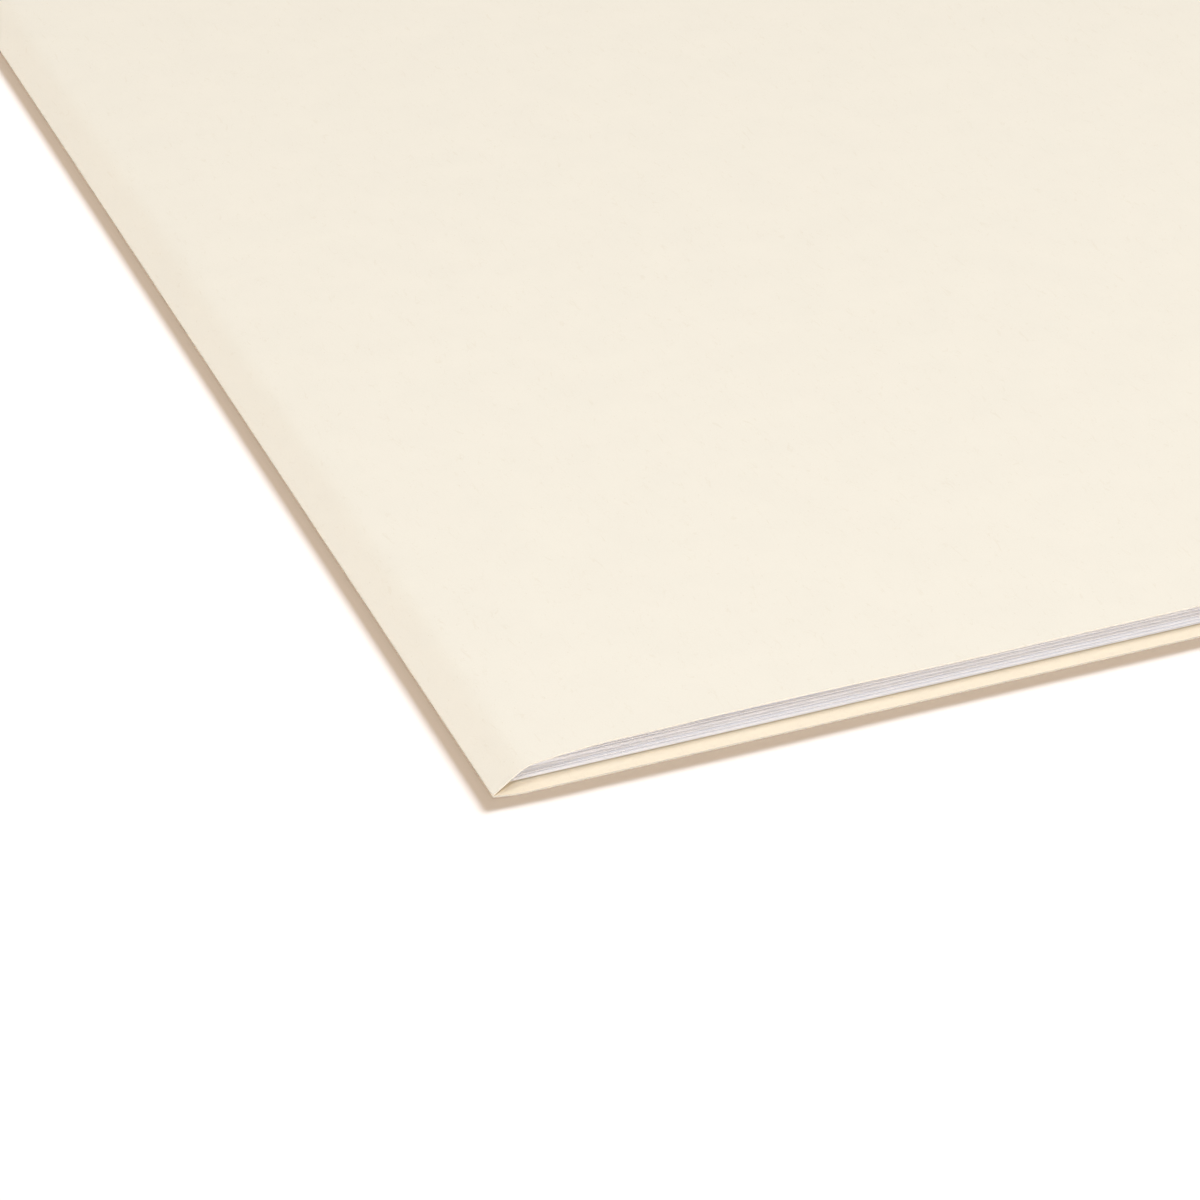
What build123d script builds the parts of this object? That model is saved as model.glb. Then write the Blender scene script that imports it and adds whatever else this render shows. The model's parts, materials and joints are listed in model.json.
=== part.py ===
from build123d import *
import os
from math import asin, cos, degrees, radians, sin, sqrt, tan

# Letter-size manila folder, closed and lying on its back flap, with loose sheets between the flaps.
# +X runs from the fold to the tab, +Y along the fold, +Z up. Lengths are in millimetres, angles in
# degrees. The origin is the middle of the footprint, on the surface that the folder lies on.

# Card: one die-cut sheet, creased into panels
card = 0.28
fold_length = 295.3
back_depth = 228.6
front_depth = 225.4
front_corner_radius = 3.0
back_corner_radius = 3.0

# Tab on the open edge of the back flap
tab_height = 12.7
tab_root_width = 104.8
tab_top_width = 88.9
tab_corner_radius = 5.0

# Main fold: the back flap curls up from the table to meet it
lip_length = 5.5
lip_lift = 0.55

# Score lines on the front: three narrow strips, each at its own slope, then the level front flap
score_spacing = 6.35
strip_slopes = (37.0, 6.0, 3.5)

# Half the slit that a crease leaves between two panels
crease_gap = 0.06

# Loose sheets
sheet_width = 215.9
sheet_length = 279.4
sheet_thickness = 0.1
sheet_air = 0.02
sheet_count = 32
near_margin = 2.5
under_sheet_air = 0.1
strip_clearance = 0.3

# Share of the air under the lowest sheet that the rising lip takes up where that sheet ends
lip_share = 0.75

# The lowest sheets lie a little further in from the near end than the rest
low_sheets = 3
low_sheet_inset = 1.5

# How far single sheets stray from a straight pile, and the turn from one sheet's stray to the next
sheet_stray_x = 0.12
sheet_stray_y = 0.15
stray_turn = 71.0

# The lip is an arc that leaves the flat of the back flap at its tangent
lip_inner_radius = (lip_length**2 + lip_lift**2) / (2 * lip_lift)
lip_outer_radius = lip_inner_radius + card
lip_end_angle = degrees(asin(lip_length / lip_inner_radius)) - degrees(crease_gap / lip_inner_radius)

# The first strip's outer corner is the outermost point at the fold, and the tab's edge the other end
fold_overhang = card * sin(radians(strip_slopes[0])) - crease_gap * cos(radians(strip_slopes[0]))
fold_x = (fold_overhang - back_depth - tab_height) / 2
lip_start_x = fold_x + lip_length
back_edge_x = fold_x + back_depth
inner_face_z = card
near_end_y = -fold_length / 2


def lip_point(radius, angle):
    """Point on the lip's section, at an angle past the end of the back flap's flat."""
    turn = radians(angle)
    return (lip_start_x - radius * sin(turn), lip_outer_radius - radius * cos(turn))


def save(piece, label):
    """Label a finished piece and write it under the same name."""
    piece.part.label = label
    export_step(piece.part, f"parts/{label}.step")


os.makedirs("parts", exist_ok=True)

# Back flap: a flat panel with the lip along the fold and the tab on its open edge
with BuildPart() as back_flap:
    with BuildSketch(Plane.XZ):
        with BuildLine():
            outer_end = lip_point(lip_outer_radius, lip_end_angle)
            inner_end = lip_point(lip_inner_radius, lip_end_angle)
            Polyline(
                (lip_start_x, 0),
                (back_edge_x, 0),
                (back_edge_x, inner_face_z),
                (lip_start_x, inner_face_z),
            )
            ThreePointArc(
                (lip_start_x, inner_face_z),
                lip_point(lip_inner_radius, lip_end_angle / 2),
                inner_end,
            )
            Line(inner_end, outer_end)
            ThreePointArc(
                outer_end,
                lip_point(lip_outer_radius, lip_end_angle / 2),
                (lip_start_x, 0),
            )
        make_face()
    extrude(amount=fold_length / 2, both=True)
    open_edge_corners = back_flap.edges().filter_by(Axis.Z).group_by(Axis.X)[-1]
    fillet(open_edge_corners, back_corner_radius)
    with BuildSketch(Plane.XY):
        with BuildLine():
            Polyline(
                (back_edge_x, -tab_root_width / 2),
                (back_edge_x + tab_height, -tab_top_width / 2),
                (back_edge_x + tab_height, tab_top_width / 2),
                (back_edge_x, tab_root_width / 2),
                close=True,
            )
        make_face()
    extrude(amount=card)
    tab_corners = back_flap.edges().filter_by(Axis.Z).group_by(Axis.X)[-1]
    fillet(tab_corners, tab_corner_radius)
save(back_flap, "back_flap")

# Score strips: each hinges on the inner line where it meets the panel before it
hinge_x = fold_x
hinge_z = card + lip_lift
for number, slope in enumerate(strip_slopes, start=1):
    along = (cos(radians(slope)), 0, sin(radians(slope)))
    outward = (-sin(radians(slope)), 0, cos(radians(slope)))
    strip_plane = Plane(origin=(hinge_x, 0, hinge_z), x_dir=along, z_dir=outward)
    with BuildPart() as score_strip:
        with BuildSketch(strip_plane):
            with Locations((score_spacing / 2, 0)):
                Rectangle(score_spacing - 2 * crease_gap, fold_length)
        extrude(amount=card)
    save(score_strip, f"score_strip_{number}")
    print(f"hinge line {number}: x {hinge_x:.4f} z {hinge_z:.4f}")
    hinge_x += score_spacing * along[0]
    hinge_z += score_spacing * along[2]
print(f"front flap hinge line: x {hinge_x:.4f} z {hinge_z:.4f}")

# Front flap: level, from the last score line to the open edge, with rounded corners there
flap_depth = front_depth - len(strip_slopes) * score_spacing
with BuildPart() as front_flap:
    with BuildSketch(Plane.XY.offset(hinge_z)):
        with Locations((hinge_x + (crease_gap + flap_depth) / 2, 0)):
            Rectangle(flap_depth - crease_gap, fold_length)
    extrude(amount=card)
    flap_corners = front_flap.edges().filter_by(Axis.Z).group_by(Axis.X)[-1]
    fillet(flap_corners, front_corner_radius)
save(front_flap, "front_flap")

# Sheets: the pile leans from clear of the lip at the bottom to clear of the first strip at the top
sheet_pitch = sheet_thickness + sheet_air
pile_bottom_z = inner_face_z + under_sheet_air
pile_top_z = pile_bottom_z + (sheet_count - 1) * sheet_pitch + sheet_thickness
lip_rise_allowed = lip_share * under_sheet_air
lip_clear_x = lip_start_x - sqrt(2 * lip_inner_radius * lip_rise_allowed - lip_rise_allowed**2)
first_slope = radians(strip_slopes[0])
strip_inner_x = fold_x + (pile_top_z - card - lip_lift) / tan(first_slope)
strip_clear_x = strip_inner_x + strip_clearance / sin(first_slope)
for number in range(1, sheet_count + 1):
    share = (number - 1) / (sheet_count - 1)
    stray = radians(number * stray_turn)
    left_x = lip_clear_x + share * (strip_clear_x - lip_clear_x) + sheet_stray_x * (1 + sin(stray))
    inset = low_sheet_inset if number <= low_sheets else 0
    near_y = near_end_y + near_margin + inset + sheet_stray_y * cos(stray)
    bottom_z = pile_bottom_z + (number - 1) * sheet_pitch
    with BuildPart() as sheet:
        with BuildSketch(Plane.XY.offset(bottom_z)):
            with Locations((left_x + sheet_width / 2, near_y + sheet_length / 2)):
                Rectangle(sheet_width, sheet_length)
        extrude(amount=sheet_thickness)
    save(sheet, f"sheet_{number:02d}")
print(f"pile top z {pile_top_z:.3f}, least left edge x {lip_clear_x:.3f}, greatest {strip_clear_x:.3f}")
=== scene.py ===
"""Letter-size manila folder that lies closed on a white table, with a sheaf of loose sheets in it.

The card is one die-cut sheet, so its surface is one section line carried along the fold and cut into
four pieces in the middle of the score strips. Each piece bends over one crease. Every sheet is a piece of
its own. Lengths are in metres: +X runs from the fold to the tab, +Y along the fold and +Z up.
"""
import json
from math import atan, atan2, cos, pi, radians, sin, tan

import bpy
import numpy as np
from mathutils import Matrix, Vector


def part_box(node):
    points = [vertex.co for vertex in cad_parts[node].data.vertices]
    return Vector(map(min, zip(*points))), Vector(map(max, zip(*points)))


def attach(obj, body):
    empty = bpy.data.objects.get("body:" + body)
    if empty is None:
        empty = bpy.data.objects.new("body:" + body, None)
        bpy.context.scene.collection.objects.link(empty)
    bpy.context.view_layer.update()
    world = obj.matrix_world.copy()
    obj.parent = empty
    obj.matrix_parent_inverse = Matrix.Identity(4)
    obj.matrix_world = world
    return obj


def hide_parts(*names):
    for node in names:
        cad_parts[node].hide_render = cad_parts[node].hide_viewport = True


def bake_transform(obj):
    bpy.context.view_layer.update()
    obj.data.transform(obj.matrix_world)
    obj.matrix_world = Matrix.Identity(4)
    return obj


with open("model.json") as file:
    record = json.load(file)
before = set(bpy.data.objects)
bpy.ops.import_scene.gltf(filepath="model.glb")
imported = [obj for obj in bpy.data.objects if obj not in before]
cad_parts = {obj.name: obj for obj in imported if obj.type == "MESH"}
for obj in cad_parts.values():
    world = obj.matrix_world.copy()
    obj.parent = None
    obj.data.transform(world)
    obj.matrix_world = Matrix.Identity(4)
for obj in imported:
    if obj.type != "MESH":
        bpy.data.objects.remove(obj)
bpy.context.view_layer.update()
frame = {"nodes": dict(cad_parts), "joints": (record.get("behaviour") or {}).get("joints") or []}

MM = 0.001

# Panels of the card and the loose sheets, as the frame has them
PANELS = ["back_flap", "score_strip_1", "score_strip_2", "score_strip_3", "front_flap"]
SHEETS = sorted(name for name in frame["nodes"] if name.startswith("sheet_"))

# Sizes from the frame
HINGES = {joint["name"]: np.array(joint["pos_m"]) for joint in frame["joints"] if joint["type"] == "hinge"}
CREASES = [HINGES[name] for name in ("main_fold", "first_score", "second_score", "third_score")]
FOLD_LINE = CREASES[0]
SPANS = list(zip(CREASES, CREASES[1:]))
STRIPS = [np.linalg.norm(far - near) for near, far in SPANS]
SLOPES = [atan2(far[2] - near[2], far[0] - near[0]) for near, far in SPANS] + [0.0]
BACK_HIGH = np.array(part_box("back_flap")[1])
FRONT_LOW, FRONT_HIGH = (np.array(corner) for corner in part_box("front_flap"))
CARD = FRONT_HIGH[2] - FRONT_LOW[2]
HALF_LENGTH = BACK_HIGH[1]
NEAR_CORNER = np.array([FOLD_LINE[0], -HALF_LENGTH, 0.0])

# Card sizes that no box gives
LIP_LENGTH = 5.5 * MM
TAB_HEIGHT = 12.7 * MM
TAB_ROOT = 104.8 * MM
TAB_TOP = 88.9 * MM
TAB_CORNER = 5.0 * MM
CORNER = 3.0 * MM

# Bends: the fold's inner radius, how far each score's bend reaches along the card, and a half reach across
# the fold that goes into the list of reaches across the creases
FOLD_INNER_RADIUS = 0.05 * MM
SCORE_BENDS = [4.5 * MM, 6.2 * MM, 6.2 * MM]
FOLD_BLEND = 0.25 * MM

# Lines that the creasing rule presses into the card's inner face
PRESS_DEPTH = 0.08 * MM
PRESS_BREADTH = 0.25 * MM
PRESS_REACH = 0.70 * MM
# Share of the painted shade laid along the pressed lines on the inner face
PRESS_PAINTED_SHADE = 0.5

# Waves of the front flap: a crown and a dip at the near end, each as its height, its distance from the
# fold and its breadth, and a swell further in
WAVE_START = 24 * MM
NEAR_FADE = 95 * MM
CROWN = (0.27 * MM, 45 * MM, 17 * MM)
DIP = (-0.10 * MM, 80 * MM, 10 * MM)
SWELL_HEIGHT = 0.22 * MM
SWELL_ACROSS = 170 * MM
SWELL_ALONG = 310 * MM
SWELL_PHASE = 0.1

# Wave of the topmost sheet, and the level strips beside the fold and the near end that it rises from
SHEET_WAVE_HEIGHT = 0.95 * MM
SHEET_WAVE_MEAN = 0.5
SHEET_WAVE_SWING = 0.28
SHEET_WAVE_ACROSS = 190 * MM
SHEET_WAVE_ALONG = 420 * MM
FOLD_LEVEL = 20 * MM
FOLD_RISE = 90 * MM
END_LEVEL = 10 * MM
END_RISE = 110 * MM

# Each sheet lies turned by up to the skew, which goes round by a step from sheet to sheet, and its
# pattern starts a step further along than that of the sheet below
SHEET_SKEW = radians(0.05)
SKEW_STEP = radians(97)
PATTERN_STEP = 0.31

# Grid counts, in cells
LENGTH_COLUMNS = 110
TAB_COLUMNS = 40
CORNER_ROWS = 9
TAB_ROWS = 5
BACK_ROWS = 35
LIP_ROWS = 13
FOLD_ROWS = 14
FIRST_STRIP_ROWS = 6
STRIP_ROWS = 10
PRESS_ROWS = 12
FRONT_ROWS = 71
SHEET_ROWS = 30
SHEET_COLUMNS = 36

# How far the section line is worked out on either side of the fold, and in how many steps in all
SECTION_REACH = 0.26
SECTION_STEPS = 80000

# Edges that turn by more than this are drawn sharp
SHARP_ANGLE = radians(40)

# Colours, linear
MANILA = (0.930, 0.866, 0.747)
# Inner face: partly the card's own lighter inside tone, partly painted warm bounce light between card
# faces
MANILA_INSIDE_WITH_BOUNCE = (0.985, 0.874, 0.690)
MANILA_CORE = (0.800, 0.750, 0.645)
MANILA_FIBRE = (0.780, 0.680, 0.520)
MANILA_FLECK = (0.620, 0.500, 0.330)
PAPER = (0.880, 0.880, 0.905)
PAPER_SHADE = (0.840, 0.840, 0.875)
WHITE = (1.0, 1.0, 1.0)

# Where the middle of a noise and most of its values lie
NOISE_LOW = 0.3
NOISE_MIDDLE = 0.5
NOISE_HIGH = 0.7

# Fibres in card and paper: how each layer is turned, how it is drawn out, how broad its lines are, and
# how high they stand beside the tooth
FIBRE_TURNS = (0.35, 1.4, 2.5)
FIBRE_STRETCH = (1.0, 0.3, 1.0)
FIBRE_BREADTH = 0.012
FIBRE_HEIGHT = 0.6

# The noise that breaks the fibres: its scale as a share of theirs, and the range in which one comes in
BREAK_SCALE = 0.6
BREAK_RANGE = (0.50, 0.60)

# Card finish: patterns per metre, shares of the darker colours, and ranges that the noises spread over
CARD_SCALES = {"Cloud Scale": 105.0, "Fibre Scale": 800.0, "Tooth Scale": 3800.0}
CARD_FIBRE_SHARE = 0.20
CARD_CLOUD_TONE = (0.992, 1.008)
CARD_TOOTH_TONE = (0.990, 1.010)
CARD_ROUGHNESS = (0.62, 0.72)
CARD_SPECULAR = 0.25
CARD_BUMP = 0.10
CARD_BUMP_DEPTH = 0.02 * MM

# Flecks in the card: a drawn-out spot in those cells of a pattern whose own value is above the choice
FLECK_TURN = 0.5
FLECK_STRETCH = (1.0, 0.45, 1.0)
FLECK_SCALE = 420.0
FLECK_CHOICE = 0.70
FLECK_SHARE = 0.20
FLECK_RIM = (0.015, 0.045)

# Paper finish, in the same terms
PAPER_SCALES = {"Cloud Scale": 160.0, "Fibre Scale": 1100.0, "Tooth Scale": 6000.0}
PAPER_CLOUD_SHARE = (0.55, 0.05)
PAPER_FIBRE_SHARE = 0.5
PAPER_ROUGHNESS = (0.80, 0.88)
PAPER_SPECULAR = 0.2
PAPER_BUMP = 0.08
PAPER_BUMP_DEPTH = 0.015 * MM

# Table and surround
FLOOR_SIZE = 14.0
FLOOR_DROP = 0.02 * MM
FLOOR_COLOUR = (0.170, 0.135, 0.103)
DOME_COLOUR = (0.625, 0.57, 0.505)

# Soft lamps: name, the way to each from the near corner, its distance, its width and height, and what
# it adds to a level surface there, by channel
SOFTBOXES = [
    ("key", (0.06, -0.57, 0.82), 3.0, (0.20, 0.20), (0.185, 0.205, 0.235)),
    ("high_fill", (0.06, -0.36, 0.93), 3.0, (0.50, 0.40), (0.145, 0.18, 0.21)),
    ("low_fill", (0.05, -0.95, 0.30), 1.6, (0.60, 0.40), (0.06, 0.06, 0.065)),
]

# Lamps for the table alone: name, the way that the light travels, its breadth in degrees, and what it
# adds there, by channel
TABLE_LAMPS = [
    ("table_light", (-1.54, -0.48, -1.0), 7.5, (3.53, 4.65, 6.55)),
    ("table_fill", (1.0, 0.35, -0.25), 25.0, (2.40, 2.40, 2.40)),
]

# Camera, from the near end of the fold on the table, with its lens and sensor in millimetres
CAMERA_FROM_CORNER = np.array([-175.534, -476.797, 360.051]) * MM
CAMERA_YAW = radians(21.9444)
CAMERA_PITCH = radians(-32.6623)
CAMERA_LENS = 128.915
CAMERA_SENSOR = 36.0
CAMERA_NEAREST = 0.01
CAMERA_FURTHEST = 50.0


def smoothstep(t):
    """Eases from 0 to 1 as t goes from 0 to 1: three t squared less two t cubed."""
    t = np.clip(t, 0.0, 1.0)
    return t * t * (3.0 - 2.0 * t)


def bell(t):
    """A bell of height 1 at t = 0: e to the minus t squared."""
    return np.exp(-t * t)


def steps(first, last, count):
    """Evenly spaced values from first to last, with that many steps between them."""
    return np.linspace(first, last, count + 1)


# Section of the card

LIP_RISE = FOLD_LINE[2] - CARD
LIP_SLOPE = 2.0 * atan(LIP_RISE / LIP_LENGTH)
LIP_ARC = LIP_LENGTH / sin(LIP_SLOPE) * LIP_SLOPE
FOLD_MID_RADIUS = FOLD_INNER_RADIUS + CARD / 2
FOLD_TURN = pi - LIP_SLOPE - SLOPES[0]
FOLD_HALF = FOLD_MID_RADIUS * FOLD_TURN / 2
FOLD_GAP_HALF = (LIP_SLOPE + SLOPES[0]) / 2
FOLD_BISECTOR = (SLOPES[0] - LIP_SLOPE) / 2
FOLD_TANGENT = FOLD_INNER_RADIUS / tan(FOLD_GAP_HALF)
SCORE_AT = FOLD_HALF - FOLD_TANGENT + np.cumsum(STRIPS)
FRONT_END = SCORE_AT[-1] + FRONT_HIGH[0] - CREASES[-1][0]


def section_turn(u):
    """Direction of the card's middle line at the distance u along it from the middle of the fold.

    The back flap comes towards the fold at half a turn. Its lip takes off the lip's slope evenly, and the
    fold takes off the fold's turn evenly. Each score then eases from one panel's slope to the next by a
    smoothstep.
    """
    marks = [-FOLD_HALF - LIP_ARC, -FOLD_HALF, FOLD_HALF]
    turn = np.interp(u, marks, [pi, pi - LIP_SLOPE, SLOPES[0]])
    for at, bend, before, after in zip(SCORE_AT, SCORE_BENDS, SLOPES, SLOPES[1:]):
        turn = turn + (after - before) * smoothstep((u - at) / bend + 0.5)
    return turn


def section_table():
    """The middle line's points, found by adding up short steps in its direction.

    It is set down with the back flap's lower face on the table and the fold's centre on its hinge line,
    moved inwards so far that both panels keep their inner faces and the fold its inner radius.
    """
    u = steps(-SECTION_REACH, SECTION_REACH, SECTION_STEPS)
    turn = section_turn(u)
    step = u[1] - u[0]
    x = np.cumsum(np.cos(turn)) * step
    z = np.cumsum(np.sin(turn)) * step
    inwards = FOLD_INNER_RADIUS / sin(FOLD_GAP_HALF) - FOLD_MID_RADIUS
    x += FOLD_LINE[0] + inwards * cos(FOLD_BISECTOR) - np.interp(0.0, u, x)
    z += CARD / 2 - z[0]
    return u, x, z


SECTION_U, SECTION_X, SECTION_Z = section_table()

# The back flap takes up the first half of the table, where x falls as u grows
BACK_SIDE = slice(SECTION_STEPS // 2)
BACK_END = np.interp(TAB_HEIGHT - BACK_HIGH[0], -SECTION_X[BACK_SIDE], SECTION_U[BACK_SIDE])


def section_point(u):
    """x, z and direction of the card's middle line at the distance u from the middle of the fold."""
    return np.interp(u, SECTION_U, SECTION_X), np.interp(u, SECTION_U, SECTION_Z), section_turn(u)


def ridge(u, height, place, breadth):
    """A bell of that height and breadth across the card, at its place from the fold."""
    return height * bell((u - place) / breadth)


def flap_wave(u, y):
    """How far the front flap lies off its flat along its normal.

    Past the third score it gains a low crown and a shallow dip, two bells across the flap that fade away
    from the near end, and a slow swell, a sine across times a cosine along, that takes over further in.
    """
    past = smoothstep((u - SCORE_AT[-1]) / WAVE_START)
    near = bell((y + HALF_LENGTH) / NEAR_FADE)
    crown = ridge(u, *CROWN) + ridge(u, *DIP)
    across = np.sin(2 * pi * (u / SWELL_ACROSS + SWELL_PHASE))
    swell = SWELL_HEIGHT * across * np.cos(2 * pi * y / SWELL_ALONG)
    return past * (near * crown + (1 - near) * swell)


def pressed(u):
    """How deep the creases are pressed into the inner face: a bell at the fold and at each score."""
    return sum(ridge(u, PRESS_DEPTH, at, PRESS_BREADTH) for at in (0.0, *SCORE_AT))


# Meshes

def rim_walls(cells, index):
    """Pairs of neighbouring grid points along the rim of a mask of cells, in the cells' turning sense.

    A cell that has no neighbour on one of its four sides gives the two corners at that side.
    """
    padded = np.pad(cells, 1)
    inner = padded[1:-1, 1:-1]
    sides = [
        (padded[1:-1, :-2], (0, 0), (1, 0)),
        (padded[2:, 1:-1], (1, 0), (1, 1)),
        (padded[1:-1, 2:], (1, 1), (0, 1)),
        (padded[:-2, 1:-1], (0, 1), (0, 0)),
    ]
    pairs = []
    for neighbour, first, second in sides:
        i, j = np.nonzero(inner & ~neighbour)
        ends = [index[i + down, j + along] for down, along in (first, second)]
        pairs.append(np.stack(ends, axis=1))
    return np.concatenate(pairs)


def piece_from(name, points, places, faces, marks, material):
    """An object from arrays of points and four-sided faces.

    places holds each point's place on the flat sheet, which becomes the UV map. marks holds a value of 0
    or 1 for each face under each name, which becomes a face attribute.
    """
    mesh = bpy.data.meshes.new(name)
    mesh.vertices.add(len(points))
    mesh.vertices.foreach_set("co", points.astype(np.float32).ravel())
    mesh.loops.add(faces.size)
    mesh.loops.foreach_set("vertex_index", faces.astype(np.int32).ravel())
    mesh.polygons.add(len(faces))
    mesh.polygons.foreach_set("loop_start", np.arange(0, faces.size, 4, dtype=np.int32))
    mesh.update(calc_edges=True)
    mesh.validate()
    mesh.shade_smooth()
    mesh.set_sharp_from_angle(angle=SHARP_ANGLE)
    layer = mesh.uv_layers.new(name="plan")
    layer.uv.foreach_set("vector", places[faces.ravel()].astype(np.float32).ravel())
    for label, values in marks.items():
        attribute = mesh.attributes.new(label, "FLOAT", "FACE")
        attribute.data.foreach_set("value", values.astype(np.float32))
    mesh.materials.append(material)
    piece = bpy.data.objects.new(name, mesh)
    bpy.context.scene.collection.objects.link(piece)
    return piece


def slab(name, outer, inner, plan, cells, material):
    """A closed thin sheet from two grids of points, its outer and inner face, with a wall along the rim.

    cells masks the grid's cells that the sheet covers, and plan holds each grid point's place on the flat
    sheet.
    """
    rows, columns = outer.shape[:2]
    count = rows * columns
    index = np.arange(count).reshape(rows, columns)
    i, j = np.nonzero(cells)
    top = np.stack([index[i, j], index[i + 1, j], index[i + 1, j + 1], index[i, j + 1]], axis=1)
    under = top[:, ::-1] + count
    rim = rim_walls(cells, index)
    wall = np.stack([rim[:, 1], rim[:, 0], rim[:, 0] + count, rim[:, 1] + count], axis=1)
    counts = [len(top), len(under), len(wall)]
    marks = {"inside": np.repeat([0, 1, 0], counts), "cut_edge": np.repeat([0, 0, 1], counts)}
    points = np.concatenate([outer.reshape(-1, 3), inner.reshape(-1, 3)])
    places = np.concatenate([plan.reshape(-1, 2), plan.reshape(-1, 2)])
    used, faces = np.unique(np.concatenate([top, under, wall]), return_inverse=True)
    return piece_from(name, points[used], places[used], faces.reshape(-1, 4), marks, material)


def corner_inset(distance, radius):
    """How much a rounded corner draws the side in, at a distance from the end: a quarter circle."""
    left = np.clip(radius - distance, 0.0, radius)
    return radius - np.sqrt(radius * radius - left * left)


def corner_steps(radius):
    """Distances from an end that follow a quarter circle evenly, from 0 to its radius."""
    return radius * (1 - np.cos(steps(0, pi / 2, CORNER_ROWS)))


def card_piece(name, u, reach, columns, cells, material):
    """A stretch of the card: rows along the section at distances u, columns at shares of the reach in y.

    Each point stands half the card's thickness to either side of the middle line, lifted by the flap's
    wave. The inner face is pressed in at the creases.
    """
    x, z, turn = section_point(u)
    y = reach[:, None] * columns[None, :]
    distance = np.broadcast_to(u[:, None], y.shape)
    lift = flap_wave(distance, y)
    normal = np.stack([-np.sin(turn), np.cos(turn)], axis=1)
    faces = []
    for off in (lift + CARD / 2, lift - CARD / 2 + pressed(distance)):
        face_x = x[:, None] + off * normal[:, :1]
        face_z = z[:, None] + off * normal[:, 1:]
        faces.append(np.stack([face_x, y, face_z], axis=2))
    outer, inner = faces
    plan = np.stack([distance, y], axis=2)
    return slab(name, outer, inner, plan, cells, material)


def back_cover(last, material):
    """The back flap with its tab, round the main fold to the distance last on the first strip.

    The tab's rows go on from the middle columns of the flap's open edge, drawn in along its slanted sides.
    """
    edge_reach = HALF_LENGTH - CORNER
    tab_share = TAB_ROOT / 2 / edge_reach
    side = steps(-1, -tab_share, (LENGTH_COLUMNS - TAB_COLUMNS) // 2)
    middle = steps(-tab_share, tab_share, TAB_COLUMNS)
    columns = np.concatenate([side, middle[1:-1], -side[::-1]])

    tab_top = BACK_END - TAB_HEIGHT
    tab_u = np.concatenate([
        tab_top + corner_steps(TAB_CORNER),
        steps(tab_top + TAB_CORNER, BACK_END, TAB_ROWS)[1:-1],
    ])
    up_the_tab = (BACK_END - tab_u) / TAB_HEIGHT
    tab_half = (TAB_ROOT + (TAB_TOP - TAB_ROOT) * up_the_tab) / 2
    tab_reach = (tab_half - corner_inset(tab_u - tab_top, TAB_CORNER)) / tab_share

    lip_start = -FOLD_HALF - LIP_ARC
    flap_u = np.concatenate([
        BACK_END + corner_steps(CORNER),
        steps(BACK_END + CORNER, lip_start, BACK_ROWS)[1:-1],
        steps(lip_start, -FOLD_HALF, LIP_ROWS),
        steps(-FOLD_HALF, FOLD_HALF, FOLD_ROWS)[1:-1],
        steps(FOLD_HALF, last, FIRST_STRIP_ROWS),
    ])
    flap_reach = HALF_LENGTH - corner_inset(flap_u - BACK_END, CORNER)

    u = np.concatenate([tab_u, flap_u])
    cells = np.ones((len(u) - 1, LENGTH_COLUMNS), bool)
    on_tab = np.abs(columns[:-1] + columns[1:]) / 2 < tab_share
    cells[:len(tab_u)] = on_tab
    return card_piece("back_cover", u, np.concatenate([tab_reach, flap_reach]), columns, cells, material)


def rows_across(first, score, last):
    """Distances along the section from first to last, with closer rows across the score between them."""
    return np.concatenate([
        steps(first, score - PRESS_REACH, STRIP_ROWS),
        steps(score - PRESS_REACH, score + PRESS_REACH, PRESS_ROWS)[1:-1],
        steps(score + PRESS_REACH, last, STRIP_ROWS),
    ])


def plain_cover(name, u, reach, material):
    """A stretch of the card with an even grid along the fold, as far as its reach to either side."""
    cells = np.ones((len(u) - 1, LENGTH_COLUMNS), bool)
    return card_piece(name, u, reach, steps(-1, 1, LENGTH_COLUMNS), cells, material)


def strip_cover(name, first, score, last, material):
    """The halves of two strips on either side of the score between them, as long as the fold."""
    u = rows_across(first, score, last)
    return plain_cover(name, u, np.full(len(u), HALF_LENGTH), material)


def front_cover(first, material):
    """The front flap from the distance first on the last strip, over the score, to its rounded corners."""
    bend_end = SCORE_AT[-1] + SCORE_BENDS[-1] / 2
    u = np.concatenate([
        rows_across(first, SCORE_AT[-1], bend_end),
        steps(bend_end, FRONT_END - CORNER, FRONT_ROWS)[1:-1],
        (FRONT_END - corner_steps(CORNER))[::-1],
    ])
    return plain_cover("front_cover", u, HALF_LENGTH - corner_inset(FRONT_END - u, CORNER), material)


def sheet_wave(x, y):
    """How far the topmost sheet rises off its flat: a slow cosine that fades by the fold and near end."""
    from_fold = smoothstep((x - FOLD_LINE[0] - FOLD_LEVEL) / FOLD_RISE)
    from_end = smoothstep((y + HALF_LENGTH - END_LEVEL) / END_RISE)
    turns = x / SHEET_WAVE_ACROSS + y / SHEET_WAVE_ALONG
    swell = SHEET_WAVE_MEAN - SHEET_WAVE_SWING * np.cos(2 * pi * turns)
    return SHEET_WAVE_HEIGHT * from_fold * from_end * swell


def paper_sheet(number, material):
    """One loose sheet in its own place in the pile, with a share of the top sheet's wave by its height."""
    low, high = (np.array(corner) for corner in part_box(SHEETS[number]))
    rows = steps(low[0], high[0], SHEET_ROWS)
    columns = steps(low[1], high[1], SHEET_COLUMNS)
    x, y = np.meshgrid(rows, columns, indexing="ij")
    share = number / (len(SHEETS) - 1)
    z = share * sheet_wave(x, y)
    plan = np.stack([x + number * PATTERN_STEP, y], axis=2)
    skew = SHEET_SKEW * sin(number * SKEW_STEP)
    middle = (low + high) / 2
    x, y = x - skew * (y - middle[1]), y + skew * (x - middle[0])
    outer = np.stack([x, y, z + high[2]], axis=2)
    inner = np.stack([x, y, z + low[2]], axis=2)
    cells = np.ones((SHEET_ROWS, SHEET_COLUMNS), bool)
    return slab(f"paper_{number + 1:02d}", outer, inner, plan, cells, material)


# Materials

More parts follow.
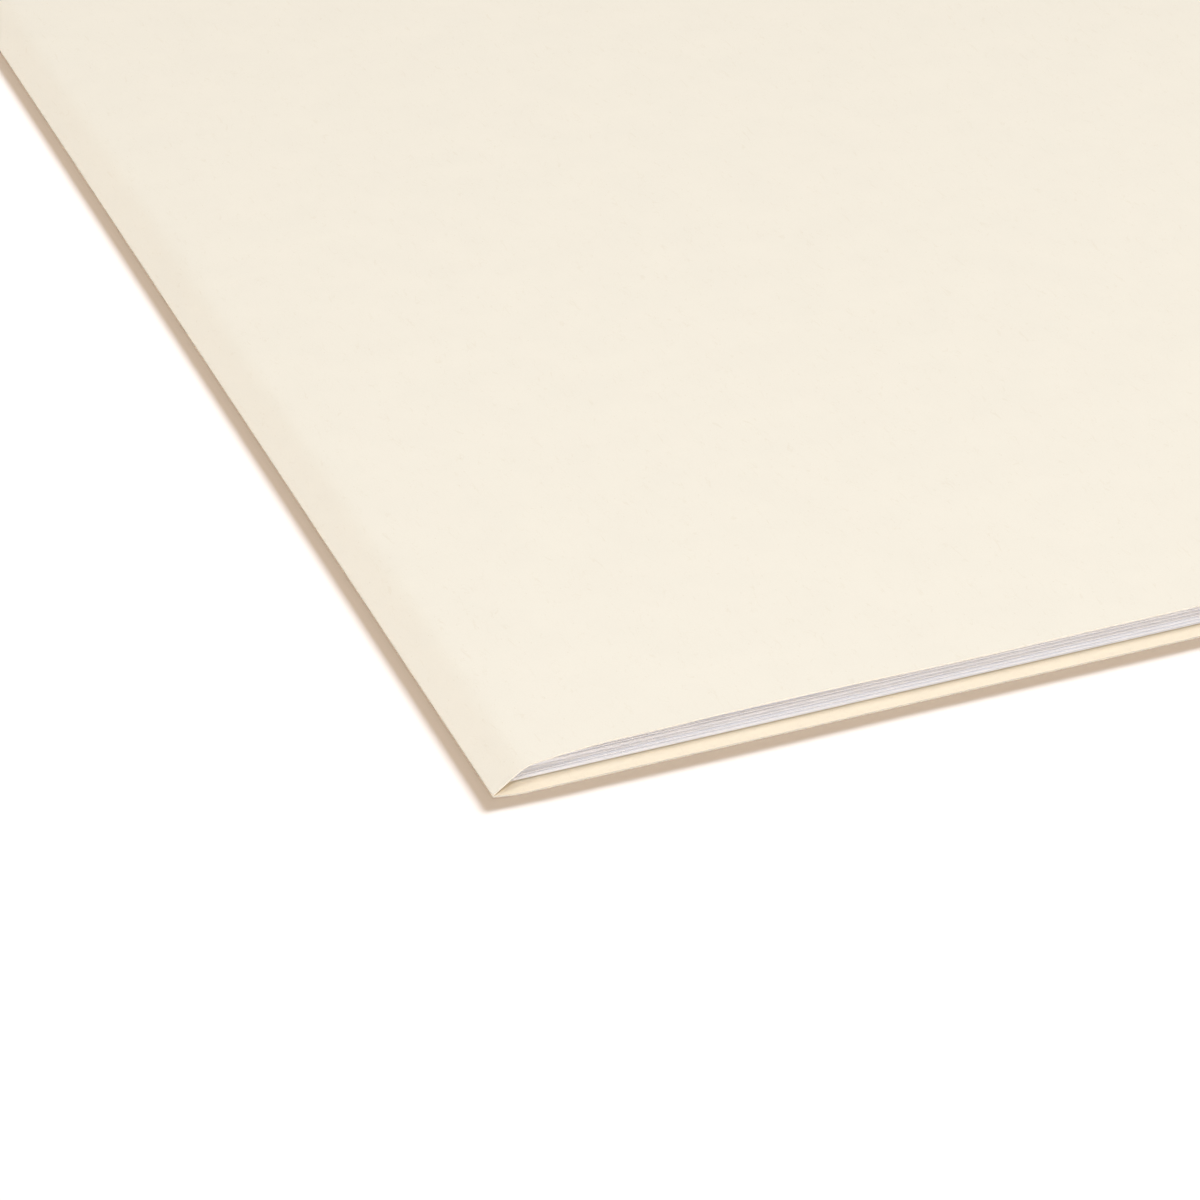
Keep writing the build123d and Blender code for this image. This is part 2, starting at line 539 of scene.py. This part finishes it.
def feed(tree, socket, source):
    """Links a source to a node's input, or sets a plain value there. A plain colour gets its alpha."""
    if isinstance(source, bpy.types.NodeSocket):
        tree.links.new(source, socket)
    elif socket.type == "RGBA":
        socket.default_value = (*source, 1.0)
    else:
        socket.default_value = source


def node(tree, kind, inputs=None, **settings):
    """A node of that kind with its properties set. inputs pairs an input's key with a source or value."""
    made = tree.nodes.new(kind)
    for name, value in settings.items():
        setattr(made, name, value)
    for key, source in (inputs or {}).items():
        feed(tree, made.inputs[key], source)
    return made


def worked(tree, operation, *sources):
    """The value of a sum or other operation on sockets or plain numbers."""
    return node(tree, "ShaderNodeMath", dict(enumerate(sources)), operation=operation).outputs[0]


def spread(tree, source, low, high, start=NOISE_LOW, end=NOISE_HIGH):
    """Maps a value between start and end to the range from low to high."""
    inputs = {"Value": source, "From Min": start, "From Max": end, "To Min": low, "To Max": high}
    return node(tree, "ShaderNodeMapRange", inputs).outputs[0]


def noise(tree, place, scale, detail=2.0, roughness=0.5, distortion=0.0):
    """A noise between 0 and 1 at a place on the flat sheet."""
    inputs = {
        "Vector": place,
        "Scale": scale,
        "Detail": detail,
        "Roughness": roughness,
        "Distortion": distortion,
    }
    return node(tree, "ShaderNodeTexNoise", inputs, noise_dimensions="2D").outputs["Fac"]


def turned(tree, place, turn, stretch):
    """A place on the flat sheet for a pattern that lies at a turn and is drawn out."""
    inputs = {"Vector": place, "Rotation": (0.0, 0.0, turn), "Scale": stretch}
    return node(tree, "ShaderNodeMapping", inputs).outputs[0]


def mixed(tree, share, first, second, blend="MIX"):
    """A colour between two others, or one worked on another, by a share."""
    # Inputs 6 and 7 and output 2 are the colour ones among the node's sockets of the same names
    inputs = {0: share, 6: first, 7: second}
    return node(tree, "ShaderNodeMix", inputs, data_type="RGBA", blend_type=blend).outputs[2]


def grey(tree, value):
    """A colour with that value in each channel."""
    inputs = {"Red": value, "Green": value, "Blue": value}
    return node(tree, "ShaderNodeCombineColor", inputs).outputs[0]


def face_mark(tree, name):
    """1 on the faces that have this mark, 0 on the rest."""
    return node(tree, "ShaderNodeAttribute", attribute_name=name).outputs["Fac"]


def fibre_group():
    """Shared finish of card and paper on the flat sheet: cloudy formation, thin fibres and a fine tooth.

    A fibre follows the line where a drawn-out noise crosses its middle, and a second noise breaks that
    line into short lengths. Three such layers lie at different turns.
    """
    group = bpy.data.node_groups.new("paper_fibre", "ShaderNodeTree")
    face = group.interface
    face.new_socket("Plan", in_out="INPUT", socket_type="NodeSocketVector")
    for name, value in CARD_SCALES.items():
        face.new_socket(name, in_out="INPUT", socket_type="NodeSocketFloat").default_value = value
    for name in ("Cloud", "Fibre", "Tooth", "Height"):
        face.new_socket(name, in_out="OUTPUT", socket_type="NodeSocketFloat")
    given = node(group, "NodeGroupInput").outputs

    cloud = noise(group, given["Plan"], given["Cloud Scale"], detail=4.0, roughness=0.6)
    tooth = noise(group, given["Plan"], given["Tooth Scale"])
    break_scale = worked(group, "MULTIPLY", given["Fibre Scale"], BREAK_SCALE)
    fibre = 0.0
    for turn in FIBRE_TURNS:
        place = turned(group, given["Plan"], turn, FIBRE_STRETCH)
        field = noise(group, place, given["Fibre Scale"], detail=1.0, distortion=0.5)
        off = worked(group, "ABSOLUTE", worked(group, "SUBTRACT", field, NOISE_MIDDLE))
        line = spread(group, off, 1.0, 0.0, 0.0, FIBRE_BREADTH)
        lengths = spread(group, noise(group, place, break_scale), 0.0, 1.0, *BREAK_RANGE)
        fibre = worked(group, "MAXIMUM", fibre, worked(group, "MULTIPLY", line, lengths))
    height = worked(group, "MULTIPLY_ADD", fibre, FIBRE_HEIGHT, tooth)
    node(group, "NodeGroupOutput", {"Cloud": cloud, "Fibre": fibre, "Tooth": tooth, "Height": height})
    return group


def new_material(name):
    """An empty node material and its tree."""
    material = bpy.data.materials.new(name)
    material.use_nodes = True
    material.node_tree.nodes.clear()
    return material, material.node_tree


def flat_place(tree):
    """Where a point of the piece lies on its flat sheet, in metres."""
    return node(tree, "ShaderNodeUVMap", uv_map="plan").outputs[0]


def grain_at(tree, group, plan, scales):
    """The shared finish at a place on the flat sheet, at the material's own scales."""
    return node(tree, "ShaderNodeGroup", {"Plan": plan, **scales}, node_tree=group).outputs


def finish_material(tree, colour, roughness, specular, height, bump, depth):
    """Principled finish from a colour and a roughness, with a height for its bump."""
    lift = node(tree, "ShaderNodeBump", {"Height": height, "Strength": bump, "Distance": depth})
    shader = node(tree, "ShaderNodeBsdfPrincipled", {
        "Base Color": colour,
        "Roughness": roughness,
        "Specular IOR Level": specular,
        "Normal": lift.outputs[0],
    })
    node(tree, "ShaderNodeOutputMaterial", {"Surface": shader.outputs[0]})


def crease_shade_lines(tree, plan):
    """Painted shade along each crease, up to the painted-shade share at the crease and fading with the
    distance from it across the flat sheet.
    """
    across = node(tree, "ShaderNodeSeparateXYZ", {"Vector": plan}).outputs["X"]
    lines = 0.0
    for at in (0.0, *SCORE_AT):
        off = worked(tree, "ABSOLUTE", worked(tree, "SUBTRACT", across, at))
        lines = worked(tree, "MAXIMUM", lines, spread(tree, off, PRESS_PAINTED_SHADE, 0.0, 0.0, 2 * PRESS_BREADTH))
    return lines


def flecks(tree, plan):
    """Up to FLECK_SHARE in the middle of the chosen cells of a drawn-out cell pattern."""
    place = turned(tree, plan, FLECK_TURN, FLECK_STRETCH)
    inputs = {"Vector": place, "Scale": FLECK_SCALE}
    pattern = node(tree, "ShaderNodeTexVoronoi", inputs, voronoi_dimensions="2D").outputs
    chosen = worked(tree, "GREATER_THAN", pattern["Color"], FLECK_CHOICE)
    spots = spread(tree, pattern["Distance"], FLECK_SHARE, 0.0, *FLECK_RIM)
    return worked(tree, "MULTIPLY", spots, chosen)


def manila_card(group):
    """Cream card: cloudy formation, crossing fibres, a few darker flecks, a greyer core at cut edges, an
    inner face painted lighter and warmer with bounce light, and painted shade along its creases.
    """
    material, tree = new_material("manila_card")
    plan = flat_place(tree)
    grain = grain_at(tree, group, plan, CARD_SCALES)
    inside = face_mark(tree, "inside")
    # The inner faces get a lighter, warmer colour: partly their own tone, partly painted bounce light
    # between card faces
    colour = mixed(tree, inside, MANILA, MANILA_INSIDE_WITH_BOUNCE)
    colour = mixed(tree, face_mark(tree, "cut_edge"), colour, MANILA_CORE)
    fibres = spread(tree, grain["Fibre"], 0.0, CARD_FIBRE_SHARE, 0.0, 1.0)
    colour = mixed(tree, fibres, colour, MANILA_FIBRE)
    # Painted shade of the pressed grooves along the creases of the inner face, mixed towards the fibre
    # colour
    painted_creases = worked(tree, "MULTIPLY", crease_shade_lines(tree, plan), inside)
    colour = mixed(tree, painted_creases, colour, MANILA_FIBRE)
    colour = mixed(tree, flecks(tree, plan), colour, MANILA_FLECK)
    cloud_tone = spread(tree, grain["Cloud"], *CARD_CLOUD_TONE)
    tooth_tone = spread(tree, grain["Tooth"], *CARD_TOOTH_TONE)
    tone = worked(tree, "MULTIPLY", cloud_tone, tooth_tone)
    colour = mixed(tree, 1.0, colour, grey(tree, tone), "MULTIPLY")
    roughness = spread(tree, grain["Cloud"], *CARD_ROUGHNESS)
    finish_material(tree, colour, roughness, CARD_SPECULAR, grain["Height"], CARD_BUMP, CARD_BUMP_DEPTH)
    return material


def white_paper(group):
    """Matt white copy paper: faint clouds and fibres, and a finer tooth than the card's."""
    material, tree = new_material("white_paper")
    grain = grain_at(tree, group, flat_place(tree), PAPER_SCALES)
    colour = mixed(tree, spread(tree, grain["Cloud"], *PAPER_CLOUD_SHARE), PAPER, PAPER_SHADE)
    fibres = spread(tree, grain["Fibre"], 0.0, PAPER_FIBRE_SHARE, 0.0, 1.0)
    colour = mixed(tree, fibres, colour, PAPER_SHADE)
    roughness = spread(tree, grain["Tooth"], *PAPER_ROUGHNESS)
    finish_material(tree, colour, roughness, PAPER_SPECULAR, grain["Height"], PAPER_BUMP, PAPER_BUMP_DEPTH)
    return material


# The folder and its sheets

paper_fibres = fibre_group()
card_finish = manila_card(paper_fibres)
paper_finish = white_paper(paper_fibres)

# The covers meet in the middle of each strip, and each is listed with the solids that it replaces
seams = [at - strip / 2 for at, strip in zip(SCORE_AT, STRIPS)]
covers = [
    (back_cover(seams[0], card_finish), ["back_flap"]),
    (strip_cover("first_score_cover", seams[0], SCORE_AT[0], seams[1], card_finish), ["score_strip_1"]),
    (strip_cover("second_score_cover", seams[1], SCORE_AT[1], seams[2], card_finish), ["score_strip_2"]),
    (front_cover(seams[2], card_finish), ["score_strip_3", "front_flap"]),
]

# For each crease, the direction across it and a half reach; the loop below does not use them
reaches = [(pi / 2 + FOLD_BISECTOR, FOLD_BLEND)]
for before, after, bend in zip(SLOPES, SLOPES[1:], SCORE_BENDS):
    reaches.append(((before + after) / 2, bend / 2))

for cover, reach, crease, panel, next_panel in zip(covers, reaches, CREASES, PANELS, PANELS[1:]):
    piece, solids = cover
    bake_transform(piece)
    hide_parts(*solids)

for number, sheet in enumerate(SHEETS):
    piece = paper_sheet(number, paper_finish)
    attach(piece, "top_sheet" if sheet == SHEETS[-1] else "sheaf")
    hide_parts(sheet)


# Floor, light and camera

def seen_rays(tree):
    """1 for camera, glossy and transmission rays, 0 for those that carry light."""
    path = node(tree, "ShaderNodeLightPath").outputs
    seen = worked(tree, "MAXIMUM", path["Is Camera Ray"], path["Is Glossy Ray"])
    return worked(tree, "MAXIMUM", seen, path["Is Transmission Ray"])


def white_floor():
    """The table: a square that comes out white where its own lamps reach it, with a warm shadow."""
    half = FLOOR_SIZE / 2
    mesh = bpy.data.meshes.new("floor")
    corners = [(x * half, y * half, -FLOOR_DROP) for x, y in ((-1, -1), (1, -1), (1, 1), (-1, 1))]
    mesh.from_pydata(corners, [], [(0, 1, 2, 3)])
    material, tree = new_material("floor")
    diffuse = node(tree, "ShaderNodeBsdfDiffuse", {"Color": FLOOR_COLOUR})
    node(tree, "ShaderNodeOutputMaterial", {"Surface": diffuse.outputs[0]})
    mesh.materials.append(material)
    floor = bpy.data.objects.new("floor", mesh)
    return floor


def soft_dome():
    """A white surround for what the camera sees, and an even, slightly warm dome of light."""
    world = bpy.data.worlds.new("dome")
    bpy.context.scene.world = world
    world.use_nodes = True
    tree = world.node_tree
    tree.nodes.clear()
    colour = mixed(tree, seen_rays(tree), DOME_COLOUR, WHITE)
    back = node(tree, "ShaderNodeBackground", {"Color": colour})
    node(tree, "ShaderNodeOutputWorld", {"Surface": back.outputs[0]})


def aimed(name, data, place, direction):
    """A lamp or camera object at a place, looking along a direction."""
    made = bpy.data.objects.new(name, data)
    bpy.context.scene.collection.objects.link(made)
    made.location = place
    made.rotation_mode = "QUATERNION"
    made.rotation_quaternion = Vector(direction).to_track_quat("-Z", "Y")
    return made


def softbox(name, target, way, distance, size, share):
    """A rectangular lamp that faces a target from a way, and adds the share to a level surface there."""
    way = np.array(way) / np.linalg.norm(way)
    lamp = bpy.data.lights.new(name, "AREA")
    lamp.shape = "RECTANGLE"
    lamp.size, lamp.size_y = size
    lamp.color = np.array(share) / max(share)
    lamp.energy = max(share) * (pi * distance) ** 2 / way[2]
    # With this on, the table's shadow comes out lighter than the lamps' shares add up to
    lamp.cycles.use_multiple_importance_sampling = False
    aimed(name, lamp, target + way * distance, -way)


def table_lamp(name, target, receivers, travel, breadth, share):
    """A distant lamp that travels one way and adds the share to the level receivers alone."""
    travel = np.array(travel) / np.linalg.norm(travel)
    lamp = bpy.data.lights.new(name, "SUN")
    lamp.angle = radians(breadth)
    lamp.color = np.array(share) / max(share)
    lamp.energy = max(share) * pi / -travel[2]
    made = aimed(name, lamp, target - travel, travel)
    made.light_linking.receiver_collection = receivers


def photograph_camera():
    """The camera at the photograph's place, turned by its yaw from +Y towards +X and by its pitch up."""
    camera = bpy.data.cameras.new("camera")
    camera.lens = CAMERA_LENS
    camera.sensor_width = CAMERA_SENSOR
    camera.clip_start = CAMERA_NEAREST
    camera.clip_end = CAMERA_FURTHEST
    level = cos(CAMERA_PITCH)
    view_way = (level * sin(CAMERA_YAW), level * cos(CAMERA_YAW), sin(CAMERA_PITCH))
    return aimed("camera", camera, NEAR_CORNER + CAMERA_FROM_CORNER, view_way)


floor_only = bpy.data.collections.new("floor_only")
bpy.context.scene.collection.children.link(floor_only)
floor_only.objects.link(white_floor())
soft_dome()

for name, way, distance, size, share in SOFTBOXES:
    softbox(name, NEAR_CORNER, way, distance, size, share)

for name, travel, breadth, share in TABLE_LAMPS:
    table_lamp(name, NEAR_CORNER, floor_only, travel, breadth, share)

bpy.context.scene.camera = photograph_camera()
bpy.context.scene.view_settings.view_transform = "Standard"
